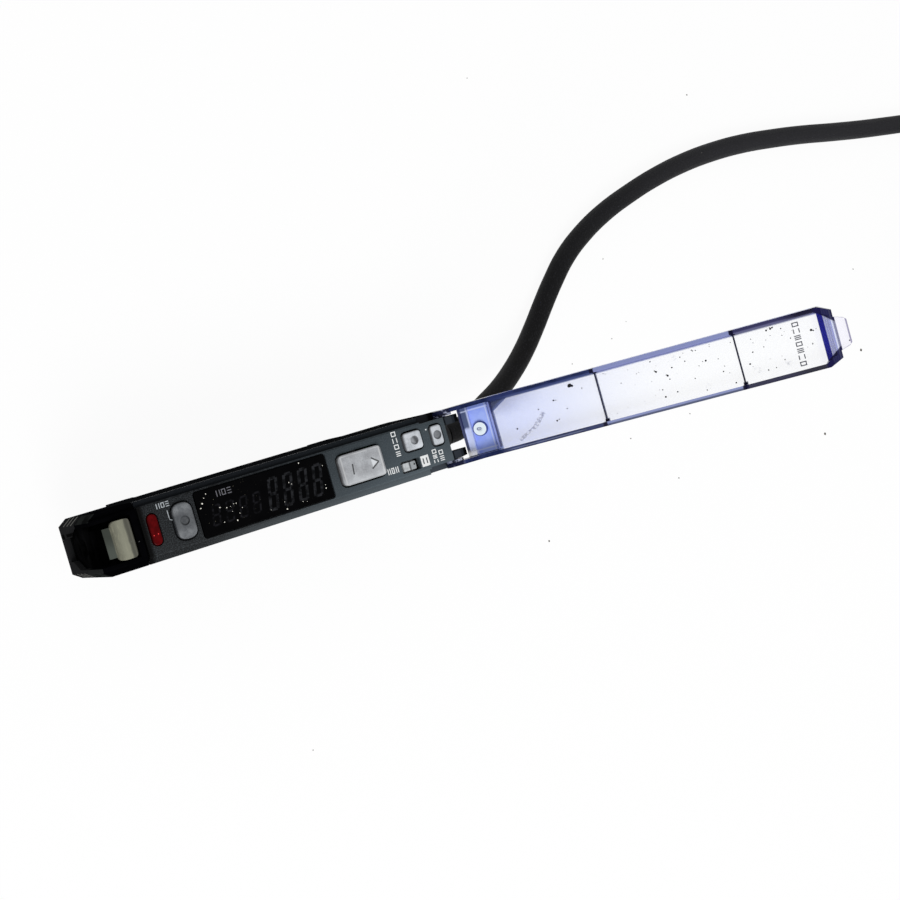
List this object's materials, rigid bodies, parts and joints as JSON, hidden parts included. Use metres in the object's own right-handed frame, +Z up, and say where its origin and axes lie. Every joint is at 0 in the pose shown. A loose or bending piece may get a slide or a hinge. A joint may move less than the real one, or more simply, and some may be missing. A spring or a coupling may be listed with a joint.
{
  "type": "fibre optic sensor amplifier",
  "caption": "Slim rail-mounted fibre optic sensor amplifier with a hinged clear dust cover, digital display, keys, fibre lock lever, sliding rail claw and a captive cable",
  "frame": {"origin": "centre of the flat seat under the case that rests on the mounting rail", "axes": "+X along the case from the fibre end to the cable end, +Y across its width, +Z up from the rail seat to the operating panel"},
  "size_m": [0.2691, 0.0701, 0.0721],
  "materials": {
    "case_black": "moulded, satin",
    "bezel_gloss": "polished",
    "panel_charcoal": "fine matt texture",
    "display_gloss": "polished smoked window",
    "key_grey": "satin",
    "lever_white": "aged, slightly yellowed",
    "lens_red": "translucent moulded",
    "cover_clear": "clear with a blue tint, dusty",
    "soft_black": "matt",
    "steel": "plain",
    "board_green": "solder mask",
    "part_dark": "moulded",
    "part_white": "moulded",
    "lead_brown": "insulation",
    "lead_black": "insulation",
    "lead_blue": "insulation",
    "lead_orange": "insulation"
  },
  "bodies": {
    "amplifier": {"case_body": "case_black", "nose_bezel": "bezel_gloss", "front_panel": "panel_charcoal", "display_window": "display_gloss", "display_module": "part_dark", "indicator_lens": "lens_red", "indicator_led": "part_white", "selector_switch": "steel", "set_switch": "steel", "down_switch": "steel", "up_switch": "steel", "mode_switch": "steel", "output_switch": "steel", "button_board": "board_green", "main_board": "board_green", "board_link": "part_dark", "shield_can": "steel", "filter_capacitor": "part_dark", "cable_terminal": "part_white", "link_socket": "part_dark", "fibre_holder": "case_black", "fibre_clamp": "steel", "receiver_diode": "steel", "emitter_led": "steel", "lever_pin": "steel", "din_spring": "steel", "cable_boot": "soft_black", "cable": "soft_black", "cable_coil": "soft_black", "cable_tail": "soft_black", "lead_brown": "lead_brown", "lead_black": "lead_black", "lead_blue": "lead_blue", "lead_orange": "lead_orange"},
    "dust_cover": {"dust_cover": "cover_clear"},
    "fibre_lever": {"fibre_lever": "lever_white"},
    "set_button": {"set_button": "key_grey"},
    "mode_button": {"mode_button": "key_grey"},
    "output_button": {"output_button": "key_grey"},
    "rocker_button": {"rocker_button": "key_grey"},
    "selector_knob": {"selector_knob": "key_grey"},
    "din_claw": {"din_claw": "case_black"}
  },
  "joints": [
    {"name": "cover_hinge", "type": "hinge", "parent": "amplifier", "child": "dust_cover", "pos_m": [0.0312, 0, 0.0223], "axis": [0, 1, 0], "range_deg": [-135.3, 0]},
    {"name": "lever_pivot", "type": "hinge", "parent": "amplifier", "child": "fibre_lever", "pos_m": [-0.028, 0, 0.019], "axis": [0, 1, 0], "range_deg": [-70, 0]},
    {"name": "set_press", "type": "slide", "parent": "amplifier", "child": "set_button", "axis": [0, 0, -1], "range_m": [0, 0.00035], "stiffness_N_per_m": 200, "springref_m": -0.0005},
    {"name": "mode_press", "type": "slide", "parent": "amplifier", "child": "mode_button", "axis": [0, 0, -1], "range_m": [0, 0.00035], "stiffness_N_per_m": 200, "springref_m": -0.0005},
    {"name": "output_press", "type": "slide", "parent": "amplifier", "child": "output_button", "axis": [0, 0, -1], "range_m": [0, 0.00035], "stiffness_N_per_m": 200, "springref_m": -0.0005},
    {"name": "rocker_tilt", "type": "hinge", "parent": "amplifier", "child": "rocker_button", "pos_m": [0.01335, 0, 0.02225], "axis": [0, 1, 0], "range_deg": [-3, 3], "stiffness_Nm_per_rad": 0.002},
    {"name": "selector_slide", "type": "slide", "parent": "amplifier", "child": "selector_knob", "axis": [1, 0, 0], "range_m": [0, 0.0006]},
    {"name": "claw_slide", "type": "slide", "parent": "amplifier", "child": "din_claw", "axis": [1, 0, 0], "range_m": [0, 0.0025], "stiffness_N_per_m": 300, "springref_m": -0.002, "deforming": ["din_spring"]}
  ]
}
